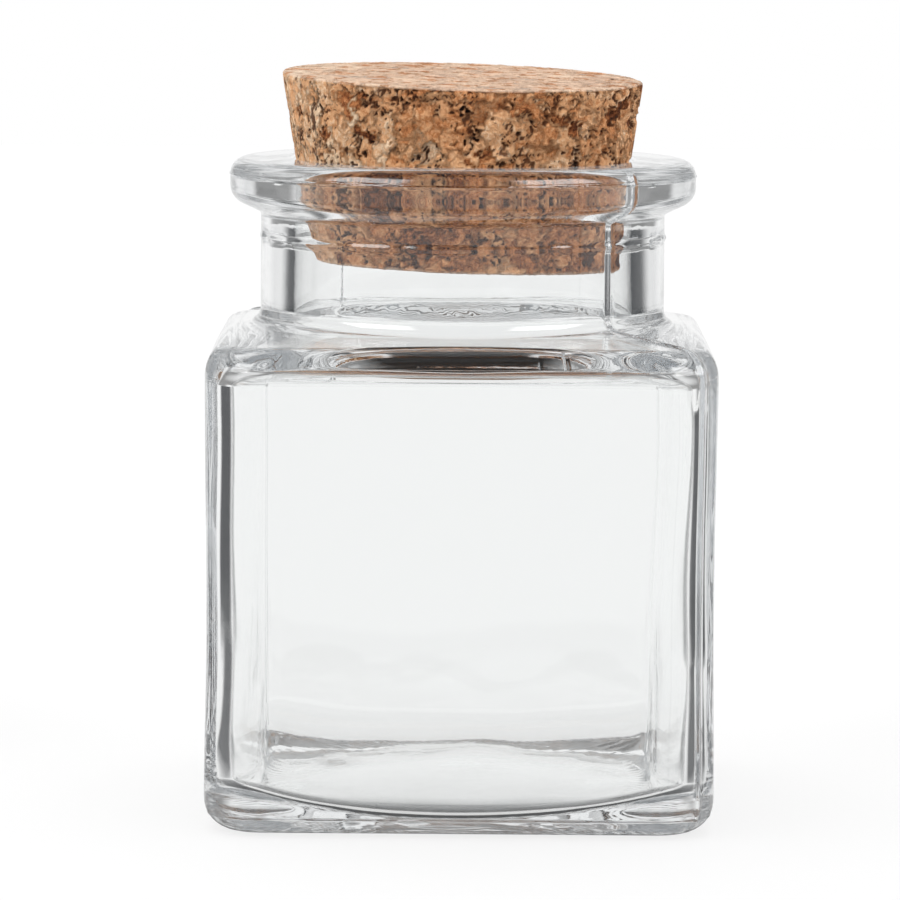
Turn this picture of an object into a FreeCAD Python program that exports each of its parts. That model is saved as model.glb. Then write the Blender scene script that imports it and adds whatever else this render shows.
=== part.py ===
import FreeCAD, Part
import math
import os
import Sketcher

# A clear glass jar with a square body, a sloped shoulder, a round neck and a beaded rim,
# closed by a tapered cork that is pushed into the mouth.
# The origin is the middle of the base, +Z runs up the jar's axis and the front faces -Y.

# Driving sizes in millimetres, angles in degrees. Shares are parts of the room that is there.
SIZES = {
    "jar_width": 50.8,
    "jar_height": 65.8,
    "corner_round": 5.8,
    "heel_round": 3.2,
    "push_up_width": 35.0,
    "push_up_depth": 0.9,
    "shoulder_drop": 1.5,
    "shoulder_round_share": 0.66,
    "neck_width": 41.2,
    "neck_height": 10.8,
    "neck_root_share": 0.30,
    "rim_width": 47.5,
    "rim_height": 5.5,
    "rim_under_slope": 25.0,
    "rim_top_share": 0.40,
    "rim_low_share": 0.60,
    "rim_root_round": 0.6,
    "mouth_width": 34.3,
    "mouth_round": 0.8,
    "wall": 2.4,
    "shoulder_wall": 2.0,
    "cavity_drop": 1.8,
    "floor_wall": 1.8,
    "floor_crown": 0.9,
    "cavity_corner_round": 4.4,
    "cavity_shoulder_share": 0.36,
    "cavity_root_share": 0.34,
    "bowl_flat_share": 0.82,
    "bowl_round_share": 1.9,
    "floor_round": 1.8,
    "cork_over": 2.5,
    "cork_under": 3.3,
    "cork_height": 19.0,
    "cork_edge_round": 0.4,
    "cork_gap": 0.15,
}

# Sizes that follow from the driving ones.
WORKED_OUT = {
    "half_width": "sizes.jar_width / 2",
    "rim_foot": "sizes.jar_height - sizes.rim_height",
    "shoulder_height": "rim_foot - sizes.neck_height",
    "half_shoulder": "shoulder_height / 2",
    "above": "sizes.jar_height + 1",
    "neck_radius": "sizes.neck_width / 2",
    "neck_joint": "neck_radius / 2",
    "rim_radius": "sizes.rim_width / 2",
    "mouth_radius": "sizes.mouth_width / 2",
    "mouth_joint": "mouth_radius / 2",
    "ledge": "half_width - neck_radius",
    "shoulder_round": "sizes.shoulder_round_share * min(ledge; sizes.corner_round)",
    "neck_root": "sizes.neck_root_share * ledge",
    "shoulder_edge": "shoulder_height - sizes.shoulder_drop",
    "overhang": "rim_radius - neck_radius",
    "rim_low": "rim_foot + overhang * tan(sizes.rim_under_slope * 1deg)",
    "rim_face": "sizes.jar_height - rim_low",
    "rim_top_round": "sizes.rim_top_share * rim_face",
    "rim_low_round": "sizes.rim_low_share * min(overhang; rim_face)",
    "push_up_radius": "sizes.push_up_width / 2",
    "cavity_half": "half_width - sizes.wall",
    "cavity_ledge": "cavity_half - mouth_radius",
    "cavity_room": "min(cavity_ledge; sizes.cavity_corner_round)",
    "cavity_shoulder_round": "sizes.cavity_shoulder_share * cavity_room",
    "cavity_root": "sizes.cavity_root_share * cavity_ledge",
    "cavity_top": "shoulder_height - sizes.shoulder_wall",
    "cavity_edge": "cavity_top - sizes.cavity_drop",
    "bowl_flat": "sizes.bowl_flat_share * cavity_half",
    "bowl_reach": "cavity_half * sqrt(2)",
    "bowl_round": "sizes.bowl_round_share * (bowl_reach - bowl_flat)",
    "bowl_centre": "sizes.floor_wall + bowl_round",
    "bowl_edge": "bowl_centre - sqrt(bowl_round ^ 2 - (bowl_reach - bowl_flat) ^ 2)",
    "crown_height": "sizes.floor_wall + sizes.floor_crown",
    "crown_rate": "sizes.floor_crown / bowl_flat",
    "crown_lean": "2 * crown_rate / (1 + crown_rate ^ 2)",
    "crown_end": "bowl_flat - bowl_round * crown_lean",
    "crown_foot": "sizes.floor_wall + bowl_round * crown_rate * crown_lean",
    "crown_sweep": "bowl_flat / crown_lean - bowl_round",
    "below": "sizes.floor_wall * 0.6",
    "under": "sizes.floor_wall * 0.3",
    "cork_top_radius": "mouth_radius + sizes.cork_over / 2",
    "cork_bottom_radius": "mouth_radius - sizes.cork_under / 2",
    "cork_slope": "(cork_top_radius - cork_bottom_radius) / sizes.cork_height",
    "cork_sunk": "(mouth_radius - sizes.cork_gap - cork_bottom_radius) / cork_slope",
    "cork_seat": "sizes.jar_height - sizes.mouth_round - cork_sunk",
}

# Points and edges closer than this count as the same place.
NEAR = 0.02

# Where along an edge it is tested, as shares of its length.
PROBES = (0.0, 0.3, 0.5, 0.8, 1.0)

# A sketch's numbers for its own origin and upright axis, and for the points of a line or arc.
ORIGIN_GEOMETRY, UPRIGHT_AXIS = range(-1, -3, -1)
START, END, CENTRE = range(1, 4)


def fill_sheet(doc, name, cells):
    """Adds a sheet with one named cell per size."""
    sheet = doc.addObject("Spreadsheet::Sheet", name)
    for row, (alias, content) in enumerate(cells.items(), start=1):
        sheet.set(f"A{row}", alias)
        sheet.set(f"B{row}", content)
        sheet.setAlias(f"B{row}", alias)
    return sheet


def add_sizes(doc):
    """Adds the sheet of driving sizes and the sheet of sizes that follow from them."""
    fill_sheet(doc, "sizes", {alias: str(value) for alias, value in SIZES.items()})
    doc.recompute()
    fill_sheet(doc, "worked", {alias: f"={text}" for alias, text in WORKED_OUT.items()})
    doc.recompute()


def value_of(doc, alias):
    """Reads one size as a plain number."""
    sheet = doc.sizes if alias in SIZES else doc.worked
    return float(getattr(sheet, alias))


def cell(alias):
    """Gives the expression that reads one size."""
    return f"sizes.{alias}" if alias in SIZES else f"worked.{alias}"


def add_body(doc, label):
    """Adds an empty body under its own label."""
    body = doc.addObject("PartDesign::Body", label)
    body.Label = label
    return body


def add_sketch(body, name, role):
    """Adds a sketch on one of the body's own origin planes."""
    sketch = body.newObject("Sketcher::SketchObject", name)
    plane = [item for item in body.Origin.OriginFeatures if item.Role == role][0]
    sketch.AttachmentSupport = [(plane, "")]
    sketch.MapMode = "FlatFace"
    return sketch


def bind(sketch, constraint, expression):
    """Adds a sized constraint and ties it to the sheet."""
    index = sketch.addConstraint(constraint)
    sketch.setExpression(f"Constraints[{index}]", expression)


def fix_point(sketch, geometry, point, place):
    """Ties a point to the sizes of its distance from the axis and its height."""
    doc = sketch.Document
    across, height = place
    if across is None:
        sketch.addConstraint(Sketcher.Constraint("PointOnObject", geometry, point, UPRIGHT_AXIS))
    else:
        gap = Sketcher.Constraint(
            "DistanceX", ORIGIN_GEOMETRY, START, geometry, point, value_of(doc, across)
        )
        bind(sketch, gap, cell(across))
    if height is None:
        sketch.addConstraint(Sketcher.Constraint("PointOnObject", geometry, point, ORIGIN_GEOMETRY))
    else:
        rise = Sketcher.Constraint(
            "DistanceY", ORIGIN_GEOMETRY, START, geometry, point, value_of(doc, height)
        )
        bind(sketch, rise, cell(height))


def place_vector(doc, place):
    """Turns a pair of size names into a sketch point; None stands for zero."""
    across, height = [0.0 if alias is None else value_of(doc, alias) for alias in place]
    return FreeCAD.Vector(across, height, 0)


def draw_outline(sketch, places):
    """Draws straight lines through places given by pairs of size names, without closing them."""
    doc = sketch.Document
    spots = [place_vector(doc, place) for place in places]
    first = sketch.GeometryCount
    for begin, end in zip(spots, spots[1:]):
        sketch.addGeometry(Part.LineSegment(begin, end), False)
    last = sketch.GeometryCount - 1
    for line in range(first, last):
        sketch.addConstraint(Sketcher.Constraint("Coincident", line, END, line + 1, START))
    for step, place in enumerate(places):
        line = min(first + step, last)
        fix_point(sketch, line, START if first + step == line else END, place)
    return first, last


def tangent_points(before, corner, after, radius):
    """Gives where a rounding leaves the two sides of a corner, and the rounding's centre."""
    back = (before - corner).normalize()
    onward = (after - corner).normalize()
    half_angle = back.getAngle(onward) / 2
    setback = radius / math.tan(half_angle)
    middle = (back + onward).normalize() * (radius / math.sin(half_angle))
    return corner + back * setback, corner + onward * setback, corner + middle


def draw_arc(sketch, begin, end, centre, radius):
    """Draws the short arc between two points and tells which of its ends is the first point."""
    angles = [math.atan2(spot.y - centre.y, spot.x - centre.x) for spot in (begin, end)]
    forward = (angles[1] - angles[0]) % (2 * math.pi) < math.pi
    low, high = angles if forward else angles[::-1]
    circle = Part.Circle(centre, FreeCAD.Vector(0, 0, 1), radius)
    arc = sketch.addGeometry(Part.ArcOfCircle(circle, low, high), False)
    return (arc, START, END) if forward else (arc, END, START)


def draw_closed(sketch, corners):
    """Draws a closed outline. A corner is a pair of size names, or three with its rounding."""
    doc = sketch.Document
    count = len(corners)
    spots = [place_vector(doc, corner[:2]) for corner in corners]
    leave = list(spots)
    arrive = list(spots)
    centres = {}
    for step, corner in enumerate(corners):
        if len(corner) == 3:
            radius = value_of(doc, corner[2])
            around = (spots[step - 1], spots[step], spots[(step + 1) % count])
            arrive[step], leave[step], centres[step] = tangent_points(*around, radius)
    for step in range(count):
        line = Part.LineSegment(leave[step], arrive[(step + 1) % count])
        sketch.addGeometry(line, False)
    for step, corner in enumerate(corners):
        before = (step - 1) % count
        if step not in centres:
            sketch.addConstraint(Sketcher.Constraint("Coincident", before, END, step, START))
            fix_point(sketch, step, START, corner)
            continue
        radius = value_of(doc, corner[2])
        arc, first, last = draw_arc(sketch, arrive[step], leave[step], centres[step], radius)
        sketch.addConstraint(Sketcher.Constraint("Tangent", before, END, arc, first))
        sketch.addConstraint(Sketcher.Constraint("Tangent", arc, last, step, START))
        bind(sketch, Sketcher.Constraint("Radius", arc, radius), cell(corner[2]))
        tip = sketch.addGeometry(Part.Point(spots[step]), True)
        for line in (before, step):
            sketch.addConstraint(Sketcher.Constraint("PointOnObject", tip, START, line))
        fix_point(sketch, tip, START, corner[:2])


def draw_rounded_square(sketch, half_name, round_name):
    """Draws a square with round corners, centred on the origin."""
    doc = sketch.Document
    half = value_of(doc, half_name)
    corner = value_of(doc, round_name)
    inner = half - corner
    for quarter in range(4):
        turn = FreeCAD.Rotation(FreeCAD.Vector(0, 0, 1), 90 * quarter)
        begin = turn.multVec(FreeCAD.Vector(half, -inner, 0))
        end = turn.multVec(FreeCAD.Vector(half, inner, 0))
        centre = turn.multVec(FreeCAD.Vector(inner, inner, 0))
        circle = Part.Circle(centre, FreeCAD.Vector(0, 0, 1), corner)
        angle = math.radians(90 * quarter)
        sketch.addGeometry(Part.LineSegment(begin, end), False)
        sketch.addGeometry(Part.ArcOfCircle(circle, angle, angle + math.pi / 2), False)
    for quarter in range(4):
        line = 2 * quarter
        arc = line + 1
        after = (line + 2) % 8
        sketch.addConstraint(Sketcher.Constraint("Tangent", line, END, arc, START))
        sketch.addConstraint(Sketcher.Constraint("Tangent", arc, END, after, START))
        direction = "Vertical" if quarter % 2 == 0 else "Horizontal"
        sketch.addConstraint(Sketcher.Constraint(direction, line))
    for arc in (3, 5, 7):
        sketch.addConstraint(Sketcher.Constraint("Equal", 1, arc))
    bind(sketch, Sketcher.Constraint("Radius", 1, corner), cell(round_name))
    origin = (ORIGIN_GEOMETRY, START)
    bind(sketch, Sketcher.Constraint("DistanceX", *origin, 0, START, half), cell(half_name))
    bind(sketch, Sketcher.Constraint("DistanceY", *origin, 2, START, half), cell(half_name))
    bind(sketch, Sketcher.Constraint("DistanceX", 4, START, *origin, half), cell(half_name))
    bind(sketch, Sketcher.Constraint("DistanceY", 6, START, *origin, half), cell(half_name))


def pad_square(body, half_name, round_name, low_name, length):
    """Pads a rounded square up from a height that is a named size, or from the ground."""
    sketch = add_sketch(body, f"{body.Name}_plan", "XY_Plane")
    if low_name:
        sketch.setExpression("AttachmentOffset.Base.z", cell(low_name))
    draw_rounded_square(sketch, half_name, round_name)
    pad = body.newObject("PartDesign::Pad", f"{body.Name}_block")
    pad.Profile = sketch
    pad.setExpression("Length", length)
    body.Document.recompute()
    return pad


def draw_ring(sketch, radius_name, joint_name):
    """Draws a circle in eight arcs, to be paired with the sides and corners of a square."""
    doc = sketch.Document
    radius = value_of(doc, radius_name)
    joint = value_of(doc, joint_name)
    half = math.asin(joint / radius)
    circle = Part.Circle(FreeCAD.Vector(0, 0, 0), FreeCAD.Vector(0, 0, 1), radius)
    for quarter in range(4):
        middle = math.radians(90 * quarter)
        after = middle + math.pi / 2
        sketch.addGeometry(Part.ArcOfCircle(circle, middle - half, middle + half), False)
        sketch.addGeometry(Part.ArcOfCircle(circle, middle + half, after - half), False)
    origin = (ORIGIN_GEOMETRY, START)
    for arc in range(8):
        sketch.addConstraint(Sketcher.Constraint("Coincident", arc, CENTRE, *origin))
    for arc in range(7):
        sketch.addConstraint(Sketcher.Constraint("Coincident", arc, END, arc + 1, START))
    bind(sketch, Sketcher.Constraint("DistanceY", 7, END, *origin, joint), cell(joint_name))
    bind(sketch, Sketcher.Constraint("Radius", 0, radius), cell(radius_name))
    for quarter, way in enumerate(("DistanceY", "DistanceX", "DistanceY", "DistanceX")):
        first, last = (2 * quarter, START), (2 * quarter, END)
        if quarter in (1, 2):
            first, last = last, first
        bind(sketch, Sketcher.Constraint(way, *first, *origin, joint), cell(joint_name))
        bind(sketch, Sketcher.Constraint(way, *origin, *last, joint), cell(joint_name))


def loft_to_ring(body, name, square, low_name, ring, high_name):
    """Lofts from a rounded square at one height to a ring at another."""
    foot = add_sketch(body, f"{name}_square", "XY_Plane")
    foot.setExpression("AttachmentOffset.Base.z", cell(low_name))
    draw_rounded_square(foot, *square)
    head = add_sketch(body, f"{name}_ring", "XY_Plane")
    head.setExpression("AttachmentOffset.Base.z", cell(high_name))
    draw_ring(head, *ring)
    body.Document.recompute()
    loft = body.newObject("PartDesign::AdditiveLoft", name)
    loft.Profile = foot
    loft.Sections = [head]
    loft.Ruled = True
    body.Document.recompute()
    return loft


def turn_on(body, name, draw):
    """Adds a drawn outline all round the upright axis."""
    sketch = add_sketch(body, f"{name}_outline", "XZ_Plane")
    draw(sketch)
    turned = body.newObject("PartDesign::Revolution", name)
    turned.Profile = sketch
    turned.ReferenceAxis = (sketch, ["V_Axis"])
    turned.Angle = 360
    body.Document.recompute()
    return turned


def turn_away(body, name, draw):
    """Cuts a drawn outline away all round the upright axis, and checks that it cut."""
    sketch = add_sketch(body, f"{name}_outline", "XZ_Plane")
    draw(sketch)
    before = body.Shape.Volume
    groove = body.newObject("PartDesign::Groove", name)
    groove.Profile = sketch
    groove.ReferenceAxis = (sketch, ["V_Axis"])
    groove.Angle = 360
    body.Document.recompute()
    if body.Shape.Volume >= before:
        raise RuntimeError(f"{name} cut nothing away")
    return groove


def round_edges(body, name, keep, size):
    """Rounds the edges of the body that a test picks out."""
    edges = [f"Edge{i}" for i, edge in enumerate(body.Shape.Edges, start=1) if keep(edge)]
    if not edges:
        raise RuntimeError(f"{name} found no edge")
    base = body.Tip
    fillet = body.newObject("PartDesign::Fillet", name)
    fillet.Base = (base, edges)
    fillet.setExpression("Radius", size)
    body.Document.recompute()
    return fillet


def ring_at(radius, height):
    """Gives a test for edges that run round the axis at a radius and a height."""

    def keep(edge):
        box = edge.BoundBox
        flat = abs(box.ZMin - height) < NEAR and abs(box.ZMax - height) < NEAR
        spots = [vertex.Point for vertex in edge.Vertexes]
        spots.append(edge.valueAt((edge.FirstParameter + edge.LastParameter) / 2))
        return flat and all(abs(math.hypot(spot.x, spot.y) - radius) < NEAR for spot in spots)

    return keep


def on_square_side(spot, half, corner):
    """Tells whether a point lies on the wall of an upright rounded square."""
    across = max(abs(spot.x), abs(spot.y))
    along = min(abs(spot.x), abs(spot.y))
    inner = half - corner
    if along <= inner:
        return abs(across - half) < NEAR
    return abs(math.hypot(across - inner, along - inner) - corner) < NEAR


def wall_edge_between(half, corner, low, high):
    """Gives a test for edges that run along a rounded square's wall between two heights."""

    def keep(edge):
        box = edge.BoundBox
        if box.ZMin < low or box.ZMax > high:
            return False
        first = edge.FirstParameter
        span = edge.LastParameter - first
        spots = [edge.valueAt(first + span * share) for share in PROBES]
        if max(spots[0].distanceToPoint(spot) for spot in spots) < NEAR:
            return False
        upright = math.hypot(spots[0].x - spots[-1].x, spots[0].y - spots[-1].y) < NEAR
        return not upright and all(on_square_side(spot, half, corner) for spot in spots)

    return keep


def draw_neck(sketch):
    """Draws half of the outline of neck and rim, which stand on the shoulder."""
    draw_closed(
        sketch,
        [
            (None, "shoulder_height"),
            ("neck_radius", "shoulder_height"),
            ("neck_radius", "rim_foot", "rim_root_round"),
            ("rim_radius", "rim_low", "rim_low_round"),
            ("rim_radius", "jar_height"),
            (None, "jar_height"),
        ],
    )


def draw_push_up(sketch):
    """Draws the shallow dome under the base: the floor line, the axis and the dome's arc."""
    doc = sketch.Document
    radius = value_of(doc, "push_up_radius")
    depth = value_of(doc, "push_up_depth")
    draw_outline(sketch, [(None, "push_up_depth"), (None, None), ("push_up_radius", None)])
    sweep = (radius**2 + depth**2) / (2 * depth)
    circle = Part.Circle(FreeCAD.Vector(0, depth - sweep, 0), FreeCAD.Vector(0, 0, 1), sweep)
    first_angle = math.atan2(sweep - depth, radius)
    arc = sketch.addGeometry(Part.ArcOfCircle(circle, first_angle, math.pi / 2), False)
    sketch.addConstraint(Sketcher.Constraint("Coincident", arc, START, arc - 1, END))
    sketch.addConstraint(Sketcher.Constraint("Coincident", arc, END, arc - 2, START))
    sketch.addConstraint(Sketcher.Constraint("PointOnObject", arc, CENTRE, UPRIGHT_AXIS))


def draw_bore(sketch):
    """Draws half of the outline of the bore, which runs up through neck and rim."""
    draw_closed(
        sketch,
        [
            (None, "cavity_top"),
            ("mouth_radius", "cavity_top"),
            ("mouth_radius", "above"),
            (None, "above"),
        ],
    )


def draw_bowl(sketch):
    """Draws what is turned away under the core: the floor is domed and rises into the corners."""
    doc = sketch.Document
    radius = value_of(doc, "bowl_round")
    flat = value_of(doc, "bowl_flat")
    sweep = value_of(doc, "crown_sweep")
    lean = math.asin(value_of(doc, "crown_lean"))
    lines = [
        ("bowl_reach", "bowl_edge"),
        ("bowl_reach", "under"),
        (None, "under"),
        (None, "crown_height"),
    ]
    first, last = draw_outline(sketch, lines)
    upright = FreeCAD.Vector(0, 0, 1)
    dome_centre = FreeCAD.Vector(0, value_of(doc, "crown_height") - sweep, 0)
    dome = Part.ArcOfCircle(Part.Circle(dome_centre, upright, sweep), math.pi / 2 - lean, math.pi / 2)
    crown = sketch.addGeometry(dome, False)
    bowl_centre = FreeCAD.Vector(flat, value_of(doc, "bowl_centre"), 0)
    end_angle = -math.acos((value_of(doc, "bowl_reach") - flat) / radius)
    circle = Part.Circle(bowl_centre, upright, radius)
    rise = sketch.addGeometry(Part.ArcOfCircle(circle, -math.pi / 2 - lean, end_angle), False)
    sketch.addConstraint(Sketcher.Constraint("Coincident", crown, END, last, END))
    sketch.addConstraint(Sketcher.Constraint("Coincident", crown, START, rise, START))
    sketch.addConstraint(Sketcher.Constraint("Coincident", rise, END, first, START))
    sketch.addConstraint(Sketcher.Constraint("PointOnObject", crown, CENTRE, UPRIGHT_AXIS))
    fix_point(sketch, crown, START, ("crown_end", "crown_foot"))
    bind(sketch, Sketcher.Constraint("Radius", rise, radius), cell("bowl_round"))


def make_core(doc):
    """Builds the hollow of the jar as a solid: bowl floor, square sides, ceiling and bore."""
    square = ("cavity_half", "cavity_corner_round")
    half, corner = [value_of(doc, name) for name in square]
    top = value_of(doc, "cavity_top")
    middle = value_of(doc, "half_shoulder")
    core = add_body(doc, "cavity_core")
    pad_square(core, *square, "below", "worked.cavity_edge - worked.below")
    loft_to_ring(core, "ceiling", square, "cavity_edge", ("mouth_radius", "mouth_joint"), "cavity_top")
    turn_on(core, "bore", draw_bore)
    turn_away(core, "bowl_floor", draw_bowl)
    ceiling = wall_edge_between(half, corner, middle, top)
    round_edges(core, "ceiling_round", ceiling, cell("cavity_shoulder_round"))
    root = ring_at(value_of(doc, "mouth_radius"), top)
    round_edges(core, "bore_root", root, cell("cavity_root"))
    floor = wall_edge_between(half, corner, 0.0, middle)
    round_edges(core, "floor_corner", floor, cell("floor_round"))
    return core


def make_jar(doc):
    """Builds the jar: square block, lofted shoulder, turned neck and rim, less the hollow."""
    square = ("half_width", "corner_round")
    half, corner = [value_of(doc, name) for name in square]
    shoulder = value_of(doc, "shoulder_height")
    rim = value_of(doc, "rim_radius")
    top = value_of(doc, "jar_height")
    core = make_core(doc)
    jar = add_body(doc, "glass_jar")
    pad_square(jar, *square, None, cell("shoulder_edge"))
    ring = ("neck_radius", "neck_joint")
    loft_to_ring(jar, "shoulder", square, "shoulder_edge", ring, "shoulder_height")
    turn_on(jar, "neck_and_rim", draw_neck)
    ledge = wall_edge_between(half, corner, value_of(doc, "half_shoulder"), shoulder)
    round_edges(jar, "shoulder_rounding", ledge, cell("shoulder_round"))
    root = ring_at(value_of(doc, "neck_radius"), shoulder)
    round_edges(jar, "neck_rounding", root, cell("neck_root"))
    heel = wall_edge_between(half, corner, -NEAR, NEAR)
    round_edges(jar, "heel_rounding", heel, cell("heel_round"))
    round_edges(jar, "rim_top", ring_at(rim, top), cell("rim_top_round"))
    turn_away(jar, "push_up", draw_push_up)
    hollow = jar.newObject("PartDesign::Boolean", "hollow")
    hollow.Type = "Cut"
    hollow.setObjects([core])
    doc.recompute()
    round_edges(jar, "mouth_edge", ring_at(value_of(doc, "mouth_radius"), top), cell("mouth_round"))
    return jar


def draw_cork(sketch):
    """Draws half of the cork's tapered outline."""
    draw_closed(
        sketch,
        [
            (None, None),
            ("cork_bottom_radius", None),
            ("cork_top_radius", "cork_height"),
            (None, "cork_height"),
        ],
    )


def make_cork(doc):
    """Builds the tapered cork and lowers it until it meets the mouth."""
    cork = add_body(doc, "cork_stopper")
    turn_on(cork, "cork_taper", draw_cork)
    low = ring_at(value_of(doc, "cork_bottom_radius"), 0.0)
    high = ring_at(value_of(doc, "cork_top_radius"), value_of(doc, "cork_height"))
    round_edges(cork, "cork_edges", lambda edge: low(edge) or high(edge), cell("cork_edge_round"))
    cork.setExpression("Placement.Base.z", cell("cork_seat"))
    doc.recompute()
    return cork


def check_document(doc):
    """Stops if any step of the model failed."""
    for item in doc.Objects:
        bad = [word for word in item.State if word in ("Invalid", "Error")]
        if bad:
            raise RuntimeError(f"{item.Label} is {bad}")


def write_piece(piece):
    """Checks one piece's solid and writes it under its label."""
    shape = piece.Shape
    if shape.isNull() or not shape.isValid() or len(shape.Solids) != 1:
        raise RuntimeError(f"{piece.Label} isn't one sound solid")
    shape.exportStep(f"parts/{piece.Label}.step")


def main():
    """Builds the jar and its cork and writes them."""
    doc = FreeCAD.newDocument("jar_with_cork")
    add_sizes(doc)
    pieces = [make_jar(doc), make_cork(doc)]
    check_document(doc)
    os.makedirs("parts", exist_ok=True)
    for piece in pieces:
        write_piece(piece)


main()
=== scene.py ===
"""Looks of a square glass jar and its cork: the two pieces, the studio round them and the camera."""

import logging
import math
from collections.abc import Iterable, Sequence
from dataclasses import dataclass, field
from enum import Enum
from typing import TypeAlias

import bpy
import numpy as np
from mathutils import Matrix, Vector
from mathutils.kdtree import KDTree


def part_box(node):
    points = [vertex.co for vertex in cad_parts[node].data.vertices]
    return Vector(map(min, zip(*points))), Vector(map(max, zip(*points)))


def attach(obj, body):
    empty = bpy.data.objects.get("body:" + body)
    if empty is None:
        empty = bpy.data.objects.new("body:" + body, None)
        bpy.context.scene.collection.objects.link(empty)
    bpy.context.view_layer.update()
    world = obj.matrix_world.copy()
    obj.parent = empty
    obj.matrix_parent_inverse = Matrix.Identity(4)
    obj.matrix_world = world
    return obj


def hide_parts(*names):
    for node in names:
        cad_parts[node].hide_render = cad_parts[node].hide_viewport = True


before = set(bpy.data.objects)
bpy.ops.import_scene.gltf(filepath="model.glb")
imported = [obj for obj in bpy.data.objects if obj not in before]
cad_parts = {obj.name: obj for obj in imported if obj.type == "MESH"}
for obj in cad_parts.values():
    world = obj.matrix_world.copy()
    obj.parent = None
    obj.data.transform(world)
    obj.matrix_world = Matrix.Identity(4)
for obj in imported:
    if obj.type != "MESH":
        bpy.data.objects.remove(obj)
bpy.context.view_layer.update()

LOG = logging.getLogger("jar")
MM = 0.001
MIDDLE = 0.5
TINY = 0.0001
Colour: TypeAlias = tuple[float, float, float, float]
Span: TypeAlias = tuple[float, float]
Triple: TypeAlias = tuple[float, float, float]
Value: TypeAlias = "Wire | float | int | Colour | Triple"


class RayKind(Enum):
    """Outputs of the light path node that the studio tells apart."""

    CAMERA = "Is Camera Ray"
    GLOSSY = "Is Glossy Ray"
    TRANSMISSION = "Is Transmission Ray"
    WALLS_PASSED = "Transmission Depth"


class Stretch(Enum):
    """Stretches of the jar's skin that have their own relief."""

    OUTSIDE = "outside"
    INSIDE = "inside"
    BEARING = "bearing"


class Wire:
    """One output socket of a node tree, which adds and multiplies like a number."""

    def __init__(self, graph: "ShaderGraph", socket: bpy.types.NodeSocket) -> None:
        """Wraps a socket.

        Args:
            graph: The node tree that the socket is in.
            socket: The output socket.
        """
        self.graph = graph
        self.socket = socket

    def _math(self, operation: str, first: Value, second: Value) -> "Wire":
        """Adds a math node.

        Args:
            operation: The node's operation.
            first: Its first value.
            second: Its second value.

        Returns:
            The node's output.
        """
        return self.graph.add("ShaderNodeMath", {"operation": operation}, {0: first, 1: second})

    def __add__(self, other: Value) -> "Wire":
        """Args: other: What is added. Returns: The sum."""
        return self._math("ADD", self, other)

    def __radd__(self, other: Value) -> "Wire":
        """Args: other: What this is added to. Returns: The sum."""
        return self._math("ADD", other, self)

    def __sub__(self, other: Value) -> "Wire":
        """Args: other: What is taken away. Returns: The difference."""
        return self._math("SUBTRACT", self, other)

    def __rsub__(self, other: Value) -> "Wire":
        """Args: other: What this is taken from. Returns: The difference."""
        return self._math("SUBTRACT", other, self)

    def __mul__(self, other: Value) -> "Wire":
        """Args: other: The factor. Returns: The product."""
        return self._math("MULTIPLY", self, other)

    def __rmul__(self, other: Value) -> "Wire":
        """Args: other: The factor. Returns: The product."""
        return self._math("MULTIPLY", other, self)

    def __truediv__(self, other: Value) -> "Wire":
        """Args: other: The divisor. Returns: The quotient."""
        return self._math("DIVIDE", self, other)

    def __rtruediv__(self, other: Value) -> "Wire":
        """Args: other: What is divided by this. Returns: The quotient."""
        return self._math("DIVIDE", other, self)

    def __pow__(self, other: Value) -> "Wire":
        """Args: other: The power. Returns: This raised to it."""
        return self._math("POWER", self, other)

    def larger(self, other: Value) -> "Wire":
        """Args: other: What it is compared with. Returns: The larger of the two."""
        return self._math("MAXIMUM", self, other)

    def step(self, low: float, high: float) -> "Wire":
        """Rises smoothly from 0 to 1.

        Args:
            low: Where the rise begins.
            high: Where it ends; below low, it falls.

        Returns:
            The eased value.
        """
        settings = {"interpolation_type": "SMOOTHSTEP"}
        values = {"Value": self, "From Min": low, "From Max": high}
        return self.graph.add("ShaderNodeMapRange", settings, values)


class ShaderGraph:
    """The node tree of one material or world."""

    def __init__(self, tree: bpy.types.NodeTree) -> None:
        """Empties the tree.

        Args:
            tree: The tree to fill.
        """
        self.tree = tree
        tree.nodes.clear()

    def add(
        self,
        kind: str,
        settings: dict[str, object] | None = None,
        values: dict[str | int, Value] | None = None,
        output: str | int = 0,
    ) -> Wire:
        """Adds a node.

        Args:
            kind: The node's type.
            settings: Its own settings.
            values: Its inputs, each a number, a colour or a wire.
            output: The output that is handed back.

        Returns:
            That output.
        """
        node = self.tree.nodes.new(kind)
        for name, value in (settings or {}).items():
            setattr(node, name, value)
        for name, value in (values or {}).items():
            if isinstance(value, Wire):
                self.tree.links.new(value.socket, node.inputs[name])
            else:
                node.inputs[name].default_value = value
        return Wire(self, node.outputs[output] if len(node.outputs) else None)

    def mix_colour(self, share: Value, first: Value, second: Value) -> Wire:
        """Mixes two colours.

        Args:
            share: How much of the second colour there is.
            first: The first colour.
            second: The second colour.

        Returns:
            The mixed colour.
        """
        return self.add("ShaderNodeMix", {"data_type": "RGBA"}, {0: share, 6: first, 7: second}, 2)

    def bump(self, height: Wire, distance: float) -> Wire:
        """Args: height: A height from 0 to 1. distance: Its size. Returns: The bumped normal."""
        return self.add(
            "ShaderNodeBump", None, {"Height": height, "Distance": distance, "Strength": 1.0}
        )

    def attribute(self, name: str, output: str) -> Wire:
        """Args: name: A mesh attribute. output: Its output's name. Returns: That output."""
        return self.add("ShaderNodeAttribute", {"attribute_name": name}, None, output)

    def rays(self, *kinds: RayKind) -> Wire:
        """Args: kinds: Kinds of ray. Returns: 1 for a ray of any of them."""
        found = [self.add("ShaderNodeLightPath", None, None, kind.value) for kind in kinds]
        total = found[0]
        for wire in found[1:]:
            total = total.larger(wire)
        return total


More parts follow.
